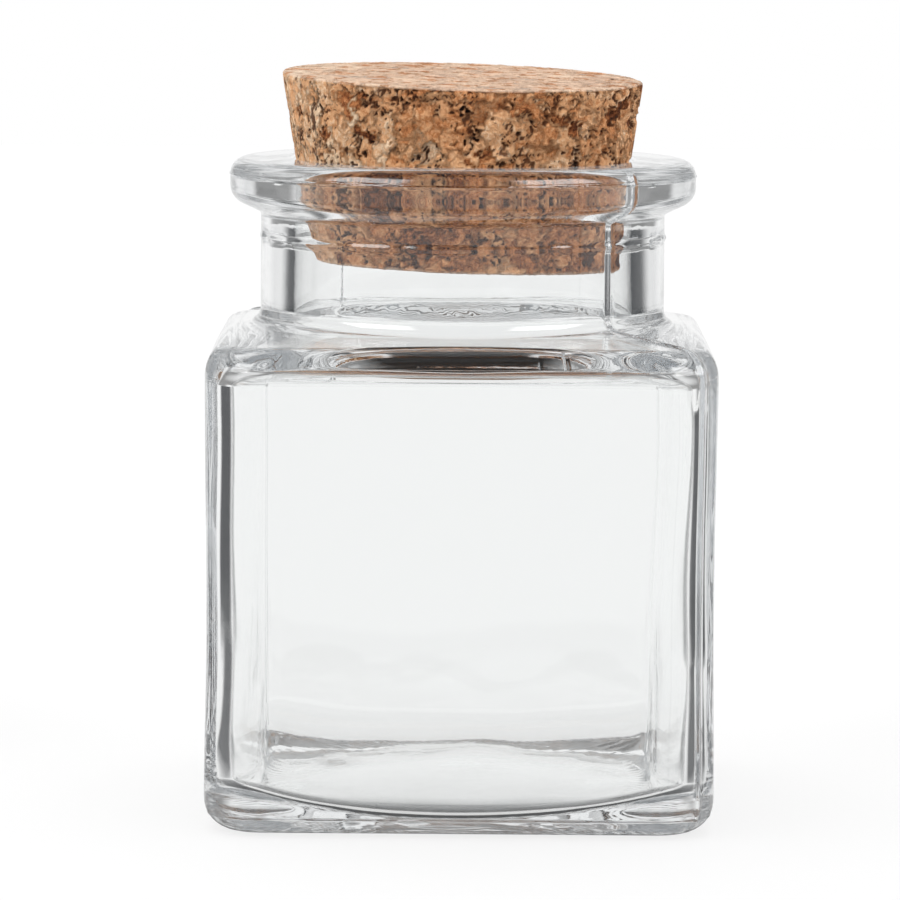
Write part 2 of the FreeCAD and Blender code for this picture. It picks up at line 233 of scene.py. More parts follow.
@dataclass(frozen=True)
class Grain:
    """A layer of smooth noise: its waves per unit, its finer layers and how strong those are."""

    scale: float
    detail: float
    rough: float

    def read(self, graph: ShaderGraph, place: Wire) -> Wire:
        """Args: graph: The graph. place: Where it is read. Returns: A value about 0.5."""
        values = {
            "Vector": place,
            "Scale": self.scale,
            "Detail": self.detail,
            "Roughness": self.rough,
        }
        return graph.add("ShaderNodeTexNoise", None, values)


class Ripple:
    """Smooth waviness made of a few plane waves in random directions."""

    def __init__(
        self, seed: int, length: float, waves: int = 14, spread: Span = (0.7, 1.5)
    ) -> None:
        """Draws the waves.

        Args:
            seed: Start of the random numbers.
            length: The waves' usual length in millimetres.
            waves: How many there are.
            spread: The least and the most of each one's pace against the usual one.
        """
        draw = np.random.default_rng(seed)
        ways = draw.normal(size=(waves, 3))
        ways /= np.linalg.norm(ways, axis=1, keepdims=True)
        self.pace = ways * (2 * math.pi / length) * draw.uniform(*spread, (waves, 1))
        self.start = draw.uniform(0, 2 * math.pi, waves)

    def __call__(self, points: np.ndarray) -> np.ndarray:
        """Args: points: Places in millimetres. Returns: A height about -1 to 1 for each."""
        waves = np.sin(points @ self.pace.T + self.start)
        return waves.sum(-1) / math.sqrt(len(self.start))


def ease(value: np.ndarray | float, low: float, high: float) -> np.ndarray:
    """Rises smoothly from 0 to 1.

    Args:
        value: The value.
        low: Where the rise begins.
        high: Where it ends; below low, it falls.

    Returns:
        The eased value.
    """
    share = np.clip((np.asarray(value, float) - low) / (high - low), 0, 1)
    return share * share * (3 - 2 * share)


def at_least(least: float, share: np.ndarray) -> np.ndarray:
    """Args: least: The least value. share: A share. Returns: The share, squeezed in above it."""
    return least + (1 - least) * share


@dataclass(frozen=True)
class Waves:
    """Waviness of a skin, held to a range of heights, of depths and of nooks, in millimetres."""

    seed: int
    length: float
    tall: float
    heights: tuple[Span, ...] = ()
    depths: tuple[Span, ...] = ()
    nooks: tuple[Span, ...] = ()

    def __call__(self, grid: np.ndarray) -> np.ndarray:
        """Args: grid: Places. Returns: How far each stands out."""
        lift = Ripple(self.seed, self.length)(grid) * self.tall
        nook = np.abs(grid[..., :2]).min(-1)
        held = ((grid[..., 2], self.heights), (grid[..., 1], self.depths), (nook, self.nooks))
        for values, limits in held:
            for limit in limits:
                lift = lift * ease(values, *limit)
        return lift


def make_mesh(name: str, points: np.ndarray, faces: Iterable[np.ndarray]) -> bpy.types.Object:
    """Makes a smooth-shaded mesh object.

    Args:
        name: Its name.
        points: Corners in millimetres.
        faces: Arrays of corner numbers, each array with faces of one size.

    Returns:
        The object, linked to the scene.
    """
    mesh = bpy.data.meshes.new(name)
    rows = [row for block in faces for row in block.tolist()]
    mesh.from_pydata((points * MM).tolist(), [], rows)
    mesh.polygons.foreach_set("use_smooth", np.ones(len(mesh.polygons), bool))
    mesh.update()
    thing = bpy.data.objects.new(name, mesh)
    bpy.context.scene.collection.objects.link(thing)
    return thing


def store(thing: bpy.types.Object, name: str, kind: str, values: np.ndarray) -> None:
    """Keeps a value for each point of a mesh.

    Args:
        thing: The mesh object.
        name: The attribute's name.
        kind: Its type.
        values: Its values.
    """
    attribute = thing.data.attributes.new(name, kind, "POINT")
    key = "vector" if kind == "FLOAT_VECTOR" else "value"
    attribute.data.foreach_set(key, np.ascontiguousarray(values, np.float32).ravel())


def new_material(name: str) -> tuple[bpy.types.Material, ShaderGraph]:
    """Args: name: The material's name. Returns: The material and its empty graph."""
    material = bpy.data.materials.new(name)
    material.use_nodes = True
    return material, ShaderGraph(material.node_tree)


@dataclass(frozen=True)
class ClearGlass:
    """Finish of the moulded glass."""

    name: str = "clear_moulded_glass"
    tint: Colour = (0.985, 0.992, 0.99, 1.0)
    bend: float = 1.52
    depth_colour: Colour = (0.880, 0.893, 0.905, 1.0)
    depth_density: float = 14.0
    peel: Grain = Grain(700.0, 3.0, 0.5)
    peel_height: float = 0.000003

    def make(self) -> bpy.types.Material:
        """Returns: Clear glass with the faint unevenness of a mould's wall."""
        material, graph = new_material(self.name)
        place = graph.add("ShaderNodeTexCoord", None, None, "Object")
        surface = graph.add(
            "ShaderNodeBsdfPrincipled",
            None,
            {
                "Base Color": self.tint,
                "Roughness": 0.0,
                "IOR": self.bend,
                "Transmission Weight": 1.0,
                "Normal": graph.bump(self.peel.read(graph, place), self.peel_height),
            },
        )
        depth = {"Color": self.depth_colour, "Density": self.depth_density}
        volume = graph.add("ShaderNodeVolumeAbsorption", None, depth)
        graph.add("ShaderNodeOutputMaterial", None, {"Surface": surface, "Volume": volume})
        return material


@dataclass(frozen=True)
class PressedCork:
    """Finish of the cork: chips from cream to dark brown with darker joints, and painted shade in its
    creases, pockets and gaps.
    """

    name: str = "pressed_cork_chips"
    bark_and_shade: Colour = (0.065, 0.017, 0.005, 1.0)
    brown: Colour = (0.260, 0.082, 0.026, 1.0)
    rust: Colour = (0.530, 0.215, 0.082, 1.0)
    tan: Colour = (0.730, 0.390, 0.195, 1.0)
    cream: Colour = (0.880, 0.640, 0.430, 1.0)
    sanded: Colour = (0.840, 0.680, 0.545, 1.0)
    pit_and_shade: Colour = (0.028, 0.012, 0.006, 1.0)
    fibre: Grain = Grain(1.3, 5.0, 0.72)
    speck: Grain = Grain(2300.0, 4.0, 0.7)
    blotch: Grain = Grain(900.0, 5.0, 0.62)
    patch: Grain = Grain(420.0, 5.0, 0.62)
    brown_from: Span = (0.0, 0.25)
    rust_from: Span = (0.2, 0.45)
    tan_from: Span = (0.42, 0.7)
    cream_from: Span = (0.7, 1.05)
    tone_mix: Triple = (1.1, 0.8, 0.6)
    sanding: float = 0.6
    fleck_mix: Span = (0.6, 0.4)
    fleck_edge: Span = (0.49, 0.42)
    fleck_share: float = 0.85
    shade_speck: float = 0.8
    shade_edge: Span = (0.12, 0.65)
    shade_share: float = 0.9
    pit_edge: Span = (0.36, 0.31)
    pit_share: Span = (0.6, 0.3)
    gaps_and_shade_speck: float = 0.9
    gaps_and_shade_edge: Span = (0.75, 1.1)
    matt: Span = (0.82, 0.2)
    shine: float = 0.25
    bump_mix: tuple[float, ...] = (0.9, 0.8, 1.0, 0.8)
    bump_height: float = 0.0005

    def make(self) -> bpy.types.Material:
        """Returns: Matt cork, coloured chip by chip, with dark pits, painted shade in creases and gaps,
        and a paler sanded top.
        """
        material, graph = new_material(self.name)
        # Chip tone, with painted shade on the cork inside the neck.
        tone = graph.attribute("chip_tone_and_neck_shade", "Fac")
        joint_and_shade = graph.attribute("chip_joint_and_shade", "Fac")
        level = 1.0 - graph.attribute("chip_flank", "Fac")
        place = graph.add("ShaderNodeTexCoord", None, None, "Object")
        fibre = self.fibre.read(graph, graph.attribute("chip_grain", "Vector"))
        speck = self.speck.read(graph, place)
        blotch = self.blotch.read(graph, place)
        patch = self.patch.read(graph, place)
        shade = tone
        for layer, share in zip((fibre, speck, blotch), self.tone_mix):
            shade = shade + (layer - MIDDLE) * share
        colour = graph.mix_colour(shade.step(*self.brown_from), self.bark_and_shade, self.brown)
        colour = graph.mix_colour(shade.step(*self.rust_from), colour, self.rust)
        colour = graph.mix_colour(shade.step(*self.tan_from), colour, self.tan)
        colour = graph.mix_colour(shade.step(*self.cream_from), colour, self.cream)
        colour = graph.mix_colour(level * self.sanding, colour, self.sanded)
        fleck = (patch * self.fleck_mix[0] + blotch * self.fleck_mix[1]).step(*self.fleck_edge)
        colour = graph.mix_colour(fleck * level * self.fleck_share, colour, self.rust)
        # Painted shade: creases, pockets and lost chips, with the real dark joints, turn bark brown.
        sunken_shade = (joint_and_shade + (speck - MIDDLE) * self.shade_speck).step(*self.shade_edge)
        colour = graph.mix_colour(sunken_shade * self.shade_share, colour, self.bark_and_shade)
        pits = blotch.step(*self.pit_edge) * (self.pit_share[0] + level * self.pit_share[1])
        # Painted shade: the deepest joints and hollows turn nearly black, like the dark pits.
        gaps_and_shade = (joint_and_shade + (speck - MIDDLE) * self.gaps_and_shade_speck).step(*self.gaps_and_shade_edge)
        colour = graph.mix_colour(gaps_and_shade.larger(pits), colour, self.pit_and_shade)
        rough = self.matt[0] + (speck - MIDDLE) * self.matt[1]
        by_fibre, by_speck, by_blotch, by_patch = self.bump_mix
        height = fibre * by_fibre + speck * by_speck + blotch * by_blotch + patch * by_patch
        surface = graph.add(
            "ShaderNodeBsdfPrincipled",
            None,
            {
                "Base Color": colour,
                "Roughness": rough,
                "Specular IOR Level": self.shine,
                "Normal": graph.bump(height, self.bump_height),
            },
        )
        graph.add("ShaderNodeOutputMaterial", None, {"Surface": surface})
        return material


@dataclass(frozen=True)
class Hollow:
    """Sizes of one rounded-square skin of the jar, outer or inner, in millimetres."""

    half: float
    corner: float | tuple[float, ...]
    ledge_round: float
    neck: float
    neck_root: float
    edge: float
    top: float


@dataclass(frozen=True)
class MouldLine:
    """A raised line round the jar: its level, how tall it is and its width, in millimetres."""

    level: float
    tall: float
    width: float


@dataclass
class GlassJar:
    """The jar as one closed skin, in millimetres: up the outside, over the rim, down the inside."""

    half: float
    height: float
    finish: ClearGlass = field(default_factory=ClearGlass)
    wall: float = 2.4
    heel: float = 3.2
    heel_degrees: tuple[int, ...] = (
        0, 10, 20, 30, 40, 48, 55, 60, 63, 65, 67, 69, 71, 73, 76, 80, 85
    )
    push_up_radius: float = 17.5
    push_up_depth: float = 0.9
    rim: float = 23.75
    rim_foot: float = 60.3
    rim_low: float = 61.77
    rim_rounds: tuple[float, ...] = (0.6, 1.89, 1.61, 0.8)
    neck_lead: float = 0.3
    floor: float = 1.8
    floor_crown: float = 0.9
    floor_round: float = 1.3
    floor_round_back: float = 3.4
    floor_round_turn: Span = (-0.3, 0.7)
    bowl_flat: float = 18.86
    bowl_round: float = 26.0
    bowl_steepest: float = 0.98
    bowl_lean_limit: float = 0.9
    pole_gap: float = 0.08
    wall_sag: float = 0.2
    sag_ends: tuple[Span, Span] = ((3.0, 20.0), (47.0, 24.0))
    top_corners: tuple[float, ...] = (2.8, 2.8, 4.2, 4.2)
    low_corners: tuple[float, ...] = (4.6, 4.6, 4.4, 5.2)
    corners_turn: Span = (0.0, 0.95)
    bend_from: float = 0.406
    bend_to: float = 0.594
    side_columns: int = 41
    corner_columns: int = 25
    dome_rings: int = 12
    band_rings: int = 14
    wall_rings: int = 20
    edge_rings: int = 18
    slope_rings: int = 14
    root_rings: int = 9
    cavity_rings: int = 24
    floor_round_rings: int = 12
    floor_edge_rings: int = 14
    floor_middle_rings: int = 9
    neck_line: MouldLine = MouldLine(57.86, 0.17, 0.3)
    base_line: MouldLine = MouldLine(1.67, 0.1, 0.13)
    rim_line: MouldLine = MouldLine(64.2, 0.1, 0.13)
    line_columns: tuple[float, ...] = (-3.0, -2.0, -1.3, -0.8, -0.4, 0.0, 0.4, 0.8, 1.3, 2.0, 3.0)
    worn: Waves = Waves(71, 6.0, 1.0)
    worn_edge: Span = (-0.5, 0.3)
    worn_least: float = 0.45
    line_margin: float = 0.5
    bore_margin: float = 0.9
    lines_above: float = 0.9
    lines_beyond_bore: float = 1.5
    seam_height: float = 0.24
    seam_width: float = 0.36
    seam_from: Span = (17.0, 18.5)
    seam_columns: tuple[float, ...] = (-30, -22, -16, -11, -7, -3.5, 3.5, 7, 11, 16, 22, 30)
    seam_pitch: float = 0.00045
    knurls_per_side: int = 16
    knurl_depth: float = 0.08
    knurl_front: Span = (-5.0, -17.0)
    knurl_least: float = 0.25
    inner_waves: tuple[Waves, ...] = (
        Waves(11, 26.0, 0.05, heights=((58.0, 50.0),)),
        Waves(83, 24.0, 0.10, ((4.0, 12.0), (46.0, 40.0)), ((-8.0, -18.0),), ((15.0, 20.0),)),
        Waves(53, 1.4, 0.010, ((44.5, 46.0), (50.5, 48.5)), ((2.0, 10.0),)),
    )
    low_waves: tuple[Waves, Waves] = (Waves(37, 9.0, 0.04), Waves(41, 15.0, 0.04))
    nook_reach: Span = (12.0, 20.0)
    nook_heights: Span = (26.0, 10.0)
    nook_least: float = 0.35
    nook_top: Span = (46.0, 42.0)
    brim_heights: Span = (12.0, 7.0)
    brim_reach: Span = (12.0, 19.0)
    brim_gain: float = 2.0
    calm_front: Span = (-16.0, -4.0)
    calm_least: float = 0.25
    outer_waves: Waves = Waves(23, 30.0, 0.015, heights=((3.2, 3.4),))

    def __post_init__(self) -> None:
        """Works out the two skins and the columns."""
        self.outer = Hollow(
            half=self.half, corner=5.8, ledge_round=3.17,
            neck=20.6, neck_root=1.44, edge=48.0, top=49.5,
        )
        self.inner = Hollow(
            half=self.half - self.wall, corner=self.top_corners, ledge_round=1.58,
            neck=17.15, neck_root=1.99, edge=45.7, top=47.5,
        )
        self.stations = self._stations()
        self.rings: list[np.ndarray] = []
        self.marks: dict[Stretch, list[int]] = {stretch: [] for stretch in Stretch}

    def _stations(self) -> np.ndarray:
        """Returns: Column places: a quarter's number plus the share of its length gone round."""
        side = np.linspace(0, self.bend_from, self.side_columns)[:-1]
        corner = np.linspace(self.bend_from, self.bend_to, self.corner_columns)[:-1]
        seam = MIDDLE + np.array(self.seam_columns) * self.seam_pitch
        plain = np.concatenate([side, corner, self.bend_to + side])
        seamed = np.unique(np.round(np.concatenate([plain, seam]), 6))
        quarters = [plain, seamed, plain, seamed]
        return np.concatenate([number + shares for number, shares in enumerate(quarters)])

    def square(self, half: float, corner: float | Sequence[float]) -> tuple[np.ndarray, np.ndarray]:
        """Points round a square with round corners.

        Args:
            half: Half its width.
            corner: Its corners' radius, or one for each corner from the right back one leftwards.

        Returns:
            The points and the outward directions there.
        """
        quarter = np.floor(self.stations)
        radius = np.broadcast_to(np.asarray(corner, float), 4)[quarter.astype(int)]
        straight = half - radius
        bend = radius * math.pi / 2
        run = (self.stations - quarter) * (2 * straight + bend)
        angle = np.clip((run - straight) / radius, 0, math.pi / 2)
        past = np.clip(run - straight - bend, 0, None)
        x = straight + radius * np.cos(angle) - past
        y = np.minimum(run, straight) + radius * np.sin(angle)
        turn = quarter * (math.pi / 2)
        cos, sin = np.cos(turn), np.sin(turn)
        points = np.stack([x * cos - y * sin, x * sin + y * cos], 1)
        return points, np.stack([np.cos(angle + turn), np.sin(angle + turn)], 1)

    def ring(self, radius: float) -> np.ndarray:
        """Args: radius: A circle's radius. Returns: Its points, paired with the square's columns."""
        quarter = np.floor(self.stations)
        bends = [0, self.bend_from, self.bend_to, 1]
        share = np.interp(self.stations - quarter, bends, [0, 1 / 3, 2 / 3, 1])
        angle = (quarter + share) * (math.pi / 2)
        return radius * np.stack([np.cos(angle), np.sin(angle)], 1)

    def push(self, mark: Stretch, flat: np.ndarray, height: np.ndarray | float) -> None:
        """Adds a ring.

        Args:
            mark: The stretch it belongs to.
            flat: Its points' places from above.
            height: Their height.
        """
        self.marks[mark].append(len(self.rings))
        self.rings.append(np.column_stack([flat, np.broadcast_to(height, len(flat))]))

    def circle(self, mark: Stretch, radius: float, height: float) -> None:
        """Args: mark: The ring's stretch. radius: Its radius. height: Its height."""
        self.push(mark, self.ring(radius), height)

    def base_rings(self) -> None:
        """The dome under the base, the bearing band and the heel."""
        sweep = (self.push_up_radius**2 + self.push_up_depth**2) / (2 * self.push_up_depth)
        for radius in np.linspace(self.pole_gap, 1.0, self.dome_rings) * self.push_up_radius:
            sag = sweep - math.sqrt(sweep**2 - radius**2)
            self.circle(Stretch.OUTSIDE, radius, self.push_up_depth - sag)
        inner = self.ring(self.push_up_radius)
        outer, out = self.square(self.half, self.outer.corner)
        foot = outer - out * self.heel
        for share in np.linspace(0, 1, self.band_rings)[1:-1]:
            self.push(Stretch.BEARING, inner + (foot - inner) * share, 0.0)
        for angle in np.radians(self.heel_degrees):
            flat = outer - out * self.heel * (1 - math.sin(angle))
            self.push(Stretch.OUTSIDE, flat, self.heel * (1 - math.cos(angle)))

    def shoulder_rings(self, skin: Hollow) -> list[tuple[np.ndarray, np.ndarray]]:
        """The way from the square wall over its rounded edge, up the slope and into the round neck.

        Args:
            skin: The outer or inner skin.

        Returns:
            Rings from low to high, each its places from above and its heights.
        """
        rings = []
        wall, _ = self.square(skin.half, skin.corner)
        way = self.ring(skin.neck) - wall
        length = np.hypot(*way.T)
        way /= length[:, None]
        turn = math.pi / 2 - np.arctan2(skin.top - skin.edge, length)
        setback = np.tan(turn / 2)
        edge_round = skin.ledge_round
        for share in np.linspace(0, 1, self.edge_rings):
            angle = turn * share
            flat = wall + way * (edge_round * (1 - np.cos(angle)))[:, None]
            rings.append((flat, skin.edge + edge_round * (np.sin(angle) - setback)))
        root = skin.neck_root
        start, start_height = rings[-1]
        foot = wall + way * (length - root + root * np.cos(turn))[:, None]
        foot_height = skin.top + root * (setback - np.sin(turn))
        for share in np.linspace(0, 1, self.slope_rings)[1:-1]:
            flat = start + (foot - start) * share
            rings.append((flat, start_height + (foot_height - start_height) * share))
        for share in np.linspace(1, 0, self.root_rings):
            angle = turn * share
            flat = wall + way * (length - root + root * np.cos(angle))[:, None]
            rings.append((flat, skin.top + root * (setback - np.sin(angle))))
        return rings

    def turned_rings(self) -> None:
        """The neck, the rim and the bore, which are round."""
        start = self.rings[-1][:, 2].max() + self.neck_lead
        low = self.shoulder_rings(self.inner)[-1][1].max() + self.neck_lead
        foot_round, low_round, top_round, mouth_round = self.rim_rounds
        corners = [
            (self.outer.neck, start, 0.0),
            (self.outer.neck, self.rim_foot, foot_round),
            (self.rim, self.rim_low, low_round),
            (self.rim, self.height, top_round),
            (self.inner.neck, self.height, mouth_round),
            (self.inner.neck, low, 0.0),
        ]
        fine = np.array(self.line_columns)
        lines = [line.level + fine * line.width for line in (self.neck_line, self.rim_line)]
        path = rounded_path(corners, arc_steps=9, spacing=1.6)
        path = insert_heights(path, np.concatenate(lines), self.outer.neck - self.line_margin)
        for radius, height in path:
            outer = radius > self.inner.neck + self.bore_margin
            self.circle(Stretch.OUTSIDE if outer else Stretch.INSIDE, radius, height)

    def bowl(self, radius: np.ndarray) -> np.ndarray:
        """Args: radius: Distances from the axis. Returns: The inner floor's heights."""
        rate = self.floor_crown / self.bowl_flat
        lean = 2 * rate / (1 + rate**2)
        sweep = self.bowl_flat / lean - self.bowl_round
        steepest = self.bowl_round * self.bowl_steepest
        past = np.clip(radius - self.bowl_flat, -self.bowl_round * lean, steepest)
        rise = self.bowl_round - np.sqrt(self.bowl_round**2 - past**2)
        crown = self.floor_crown + np.sqrt(sweep**2 - np.minimum(radius, sweep) ** 2) - sweep
        return self.floor + np.where(radius < sweep * lean, crown, rise)

    def floor_rings(self) -> None:
        """The inner floor: rounded off from the walls, rising into the corners."""
        wall, out = self.square(self.inner.half, self.low_corners)
        more = self.floor_round_back - self.floor_round
        rounding = self.floor_round + more * ease(out[:, 1], *self.floor_round_turn)
        reach = np.hypot(*(wall - out * rounding[:, None]).T)
        slope = (reach - self.bowl_flat) / self.bowl_round
        tilt = np.arcsin(np.clip(slope, 0, self.bowl_lean_limit))
        hub = self.bowl(reach) + rounding / np.cos(tilt)
        low = self.rings[-1][:, 2].min()
        for share in np.linspace(0, 1, self.cavity_rings)[1:-1]:
            blend = float(ease(share, *self.corners_turn))
            corners = [a + (b - a) * blend for a, b in zip(self.top_corners, self.low_corners)]
            flat = self.square(self.inner.half, corners)[0]
            self.push(Stretch.INSIDE, flat, low + (hub - low) * share)
        for share in np.linspace(0, 1, self.floor_round_rings):
            angle = (math.pi / 2 - tilt) * share
            flat = wall - out * (rounding * (1 - np.cos(angle)))[:, None]
            self.push(Stretch.INSIDE, flat, hub - rounding * np.sin(angle))
        edge = self.rings[-1]
        miss = edge[:, 2] - self.bowl(np.hypot(*edge[:, :2].T))
        flat_ring = self.ring(self.bowl_flat)
        for share in np.linspace(0, 1, self.floor_edge_rings)[1:]:
            flat = edge[:, :2] + (flat_ring - edge[:, :2]) * share
            self.push(Stretch.INSIDE, flat, self.bowl(np.hypot(*flat.T)) + miss * (1 - share))
        for radius in np.linspace(1.0, self.pole_gap, self.floor_middle_rings)[1:] * self.bowl_flat:
            self.circle(Stretch.INSIDE, radius, float(self.bowl(np.array(radius))))

    def side_rings(self) -> None:
        """The outer walls between the heel and the shoulder."""
        wall, _ = self.square(self.half, self.outer.corner)
        top = self.shoulder_rings(self.outer)[0][1]
        for share in np.linspace(0, 1, self.wall_rings)[:-1]:
            self.push(Stretch.OUTSIDE, wall, self.heel + (top - self.heel) * share)

    def lay_out(self) -> None:
        """All rings, from the middle of the base round to the middle of the floor."""
        self.base_rings()
        self.side_rings()
        for flat, height in self.shoulder_rings(self.outer):
            self.push(Stretch.OUTSIDE, flat, height)
        self.turned_rings()
        for flat, height in reversed(self.shoulder_rings(self.inner)):
            self.push(Stretch.INSIDE, flat, height)
        self.floor_rings()

    def normals(self, grid: np.ndarray) -> np.ndarray:
        """Args: grid: Rings of points. Returns: The outward directions there."""
        along = np.roll(grid, -1, 1) - np.roll(grid, 1, 1)
        up = np.gradient(grid, axis=0)
        out = np.cross(along, up)
        return out / np.maximum(np.linalg.norm(out, axis=2, keepdims=True), 1e-12)

    def marked(self, mark: Stretch) -> np.ndarray:
        """Args: mark: A stretch. Returns: 1 for each of its rings and 0 for the others."""
        flags = np.zeros((len(self.rings), 1))
        flags[self.marks[mark]] = 1
        return flags

    def mould_lines(self, grid: np.ndarray) -> np.ndarray:
        """Args: grid: Rings of points. Returns: How far the seam and the raised lines stand out."""
        x, y, height = np.moveaxis(grid, -1, 0)
        reach = np.hypot(x, y)
        across = np.abs(x + y) / math.sqrt(2)
        seam = np.exp(-((across / self.seam_width) ** 2)) * ease(reach, *self.seam_from)
        lift = seam * (x * y < 0) * (height < self.height - self.line_margin) * self.seam_height
        worn = at_least(self.worn_least, ease(self.worn(grid), *self.worn_edge))
        for line in (self.neck_line, self.base_line, self.rim_line):
            lift += np.exp(-(((height - line.level) / line.width) ** 2)) * line.tall * worn
        beyond = reach > self.inner.neck + self.lines_beyond_bore
        return lift * (height > self.lines_above) * beyond

    def floor_waves(self, grid: np.ndarray) -> np.ndarray:
        """Args: grid: Rings of points. Returns: The unevenness low down in the cavity's corners."""
        height = grid[..., 2]
        reach = np.hypot(grid[..., 0], grid[..., 1])
        nook = np.abs(grid[..., :2]).min(-1)
        share = at_least(self.nook_least, ease(height, *self.nook_heights))
        share *= ease(nook, *self.nook_reach)
        share *= ease(height, *self.nook_top)
        share += ease(height, *self.brim_heights) * ease(reach, *self.brim_reach) * self.brim_gain
        share *= at_least(self.calm_least, ease(grid[..., 1], *self.calm_front))
        return sum(waves(grid) for waves in self.low_waves) * share

    def relief(self, grid: np.ndarray) -> np.ndarray:
        """Mould lines, sagging walls and waviness.

        Args:
            grid: Rings of points.

        Returns:
            How far each point stands out.
        """
        height = grid[..., 2]
        reach = np.hypot(grid[..., 0], grid[..., 1])
        rise, fall = self.sag_ends
        sag = ease(height, *rise) * ease(height, *fall) * self.wall_sag
        outer = self.mould_lines(grid) - sag * (reach > self.inner.half) + self.outer_waves(grid)
        inner = self.floor_waves(grid) + sum(waves(grid) for waves in self.inner_waves)
        return self.marked(Stretch.OUTSIDE) * outer + self.marked(Stretch.INSIDE) * inner

    def knurl(self, grid: np.ndarray) -> np.ndarray:
        """Args: grid: Rings of points. Returns: How far the bearing band is cut up between its bars."""
        lift = np.zeros(grid.shape[:2])
        rings = self.marks[Stretch.BEARING]
        band = np.sin(np.linspace(0, math.pi, len(rings))) ** 0.5
        share = self.stations - np.floor(self.stations)
        count = self.knurls_per_side / (2 * self.bend_from)
        wave = 0.5 - 0.5 * np.cos(2 * math.pi * count * (share - MIDDLE))
        front = at_least(self.knurl_least, ease(grid[rings][..., 1], *self.knurl_front))
        lift[rings] = band[:, None] * wave * self.knurl_depth * front
        return lift

    def build(self) -> bpy.types.Object:
        """Returns: The jar, riding on its body."""
        self.lay_out()
        grid = np.stack(self.rings)
        grid = grid + self.normals(grid) * self.relief(grid)[..., None]
        grid[..., 2] += self.knurl(grid)
        rows, columns = grid.shape[:2]
        poles = np.array([[0, 0, self.push_up_depth], [0, 0, self.floor + self.floor_crown]])
        points = np.concatenate([grid.reshape(-1, 3), poles])
        number = np.arange(rows * columns).reshape(rows, columns)
        after = np.roll(number, -1, 1)
        quads = np.stack([number[:-1], after[:-1], after[1:], number[1:]], -1).reshape(-1, 4)
        first = np.stack([np.full(columns, rows * columns), after[0], number[0]], -1)
        last = np.stack([np.full(columns, rows * columns + 1), number[-1], after[-1]], -1)
        jar = make_mesh("moulded_glass_jar", points, [quads, first, last])
        jar.data.materials.append(self.finish.make())
        jar.visible_shadow = False
        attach(jar, "jar")
        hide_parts("glass_jar")
        return jar


def rounded_path(corners: list[Triple], arc_steps: int, spacing: float) -> np.ndarray:
    """Samples a line with rounded corners.

    Args:
        corners: Places, each with the radius of its rounding.
        arc_steps: Points on each rounding.
        spacing: Distance between points on the straights.

    Returns:
        The points in order.
    """
    spots = np.array([corner[:2] for corner in corners])
    pieces = [spots[:1]]
    for number in range(1, len(corners)):
        spot = spots[number]
        radius = corners[number][2]
        if radius:
            back = (spots[number - 1] - spot) / np.linalg.norm(spots[number - 1] - spot)
            onward = (spots[number + 1] - spot) / np.linalg.norm(spots[number + 1] - spot)
            half = math.acos(float(back @ onward)) / 2
            inward = (back + onward) / np.linalg.norm(back + onward)
            centre = spot + inward * radius / math.sin(half)
            begin = spot + back * radius / math.tan(half) - centre
            end = spot + onward * radius / math.tan(half) - centre
            turn = math.pi - 2 * half
            shares = np.linspace(0, 1, arc_steps)[:, None]
            arc = np.sin((1 - shares) * turn) * begin + np.sin(shares * turn) * end
            stretch = arc / math.sin(turn) + centre
        else:
            stretch = spot[None]
        start = pieces[-1][-1]
        count = max(1, round(float(np.linalg.norm(stretch[0] - start)) / spacing))
        pieces.append(start + (stretch[0] - start) * (np.arange(1, count) / count)[:, None])
        pieces.append(stretch)
        pieces = [piece for piece in pieces if len(piece)]
    return np.concatenate(pieces)


def insert_heights(path: np.ndarray, heights: np.ndarray, least_radius: float) -> np.ndarray:
    """Adds points to a path where it rises through given heights.

    Args:
        path: Radius and height of each point.
        heights: The heights.
        least_radius: Stretches nearer the axis are left alone.

    Returns:
        The path with the added points.
    """
    result = [path[0]]
    for begin, end in zip(path[:-1], path[1:]):
        rises = begin[0] > least_radius and end[1] > begin[1]
        inside = np.sort(heights[(heights > begin[1]) & (heights < end[1])]) if rises else []
        for height in inside:
            result.append(begin + (end - begin) * (height - begin[1]) / (end[1] - begin[1]))
        result.append(end)
    return np.array(result)


@dataclass(frozen=True)
class SkinChips:
    """How many chips there are, and which of them shows at each point of the cork's skin.

    Each point has its chip's number, how near the joint between chips it is, where in the chip it
    lies, how far the chip's face slopes away there and how far aside the chip is.
    """

    count: int
    number: np.ndarray
    gap: np.ndarray
    grain: np.ndarray
    facet: np.ndarray
    side: np.ndarray


